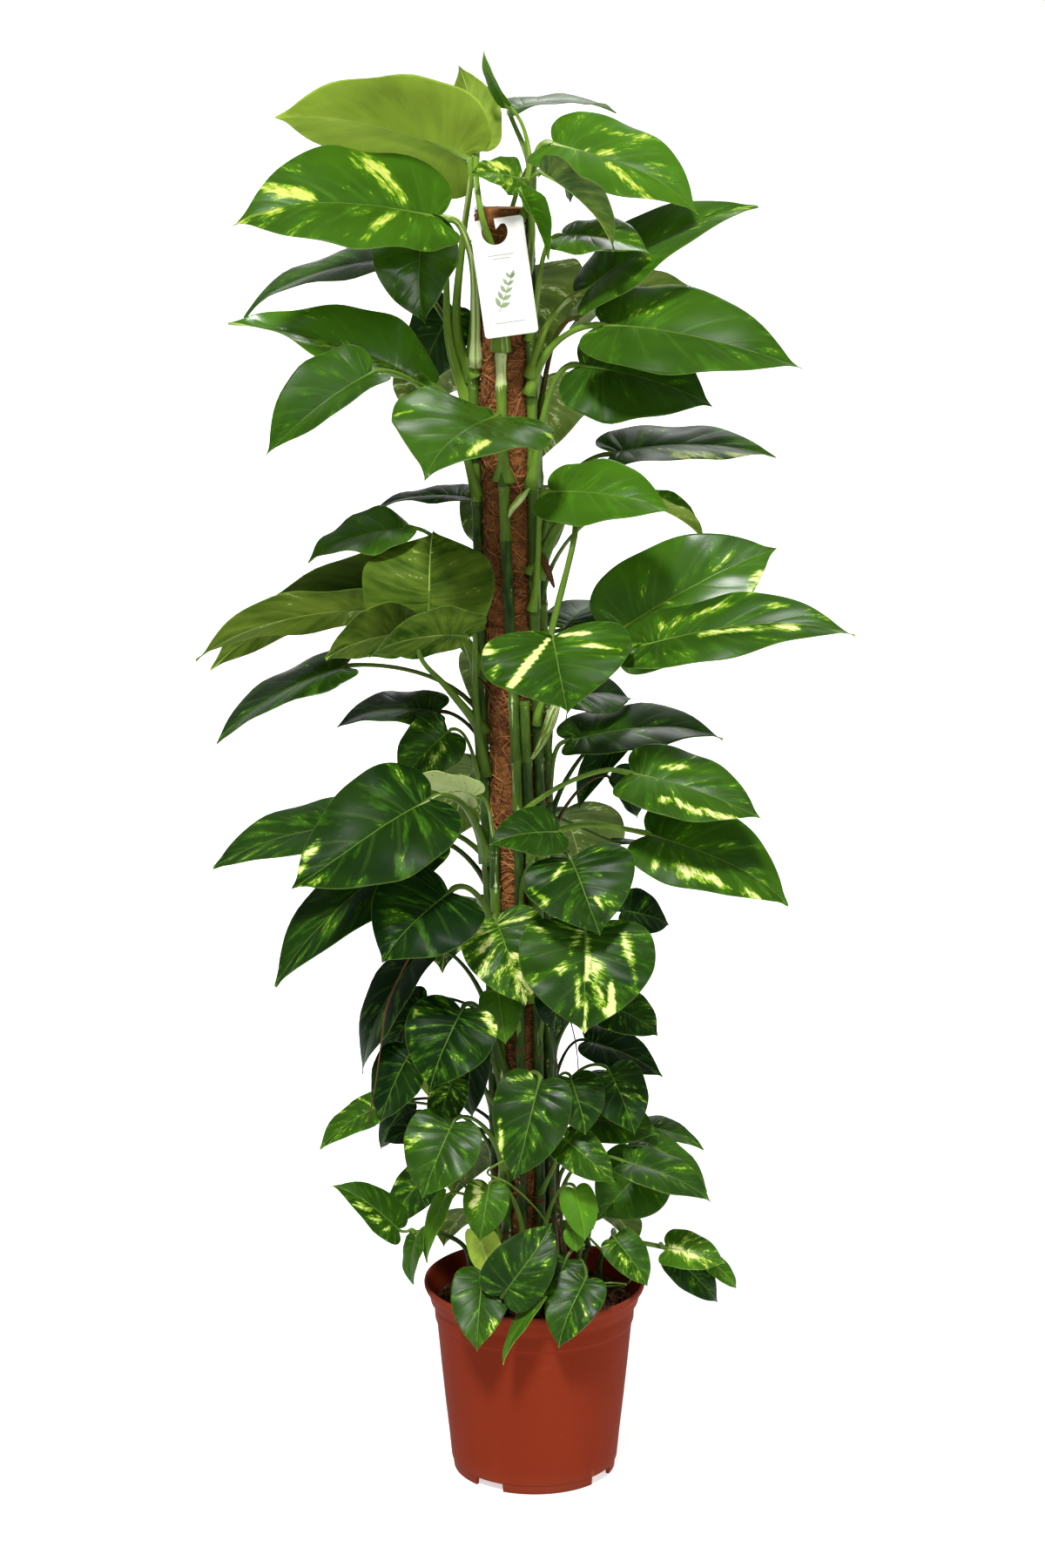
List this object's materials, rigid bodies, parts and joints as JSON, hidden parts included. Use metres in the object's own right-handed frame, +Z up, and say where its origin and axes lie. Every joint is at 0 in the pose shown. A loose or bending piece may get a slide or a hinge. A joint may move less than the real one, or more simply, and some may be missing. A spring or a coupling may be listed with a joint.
{
  "type": "potted golden pothos",
  "caption": "Golden pothos climbing a coir pole in a round nursery pot, with variegated heart-shaped leaves on arching petioles.",
  "frame": {"origin": "middle of the pot's underside, on the floor", "axes": "+Z up along the pole, -Y towards the side that the picture shows, +X to its right"},
  "size_m": [0.6727, 0.4205, 1.5186],
  "materials": {
    "pot": "satin moulded plastic, terracotta colour",
    "soil": "moist peat potting soil",
    "core": "plain stake",
    "coir": "shaggy coconut fibre",
    "plant": "glossy waxy leaves with cream and yellow marks",
    "tag": "smooth white card"
  },
  "bodies": {
    "root": {"pot": "pot", "soil": "soil", "pole_core": "core", "pole_coir": "coir", "vine_left": "plant", "vine_front": "plant", "vine_front_left": "plant", "vine_right": "plant", "vine_front_right": "plant", "vine_right_back": "plant", "vine_back": "plant", "vine_left_back": "plant", "shoot_left": "plant", "shoot_front_left": "plant", "shoot_front": "plant", "shoot_front_right": "plant", "shoot_right": "plant", "shoot_back_left": "plant", "shoot_back_right": "plant", "hang_tag": "tag"}
  },
  "joints": []
}
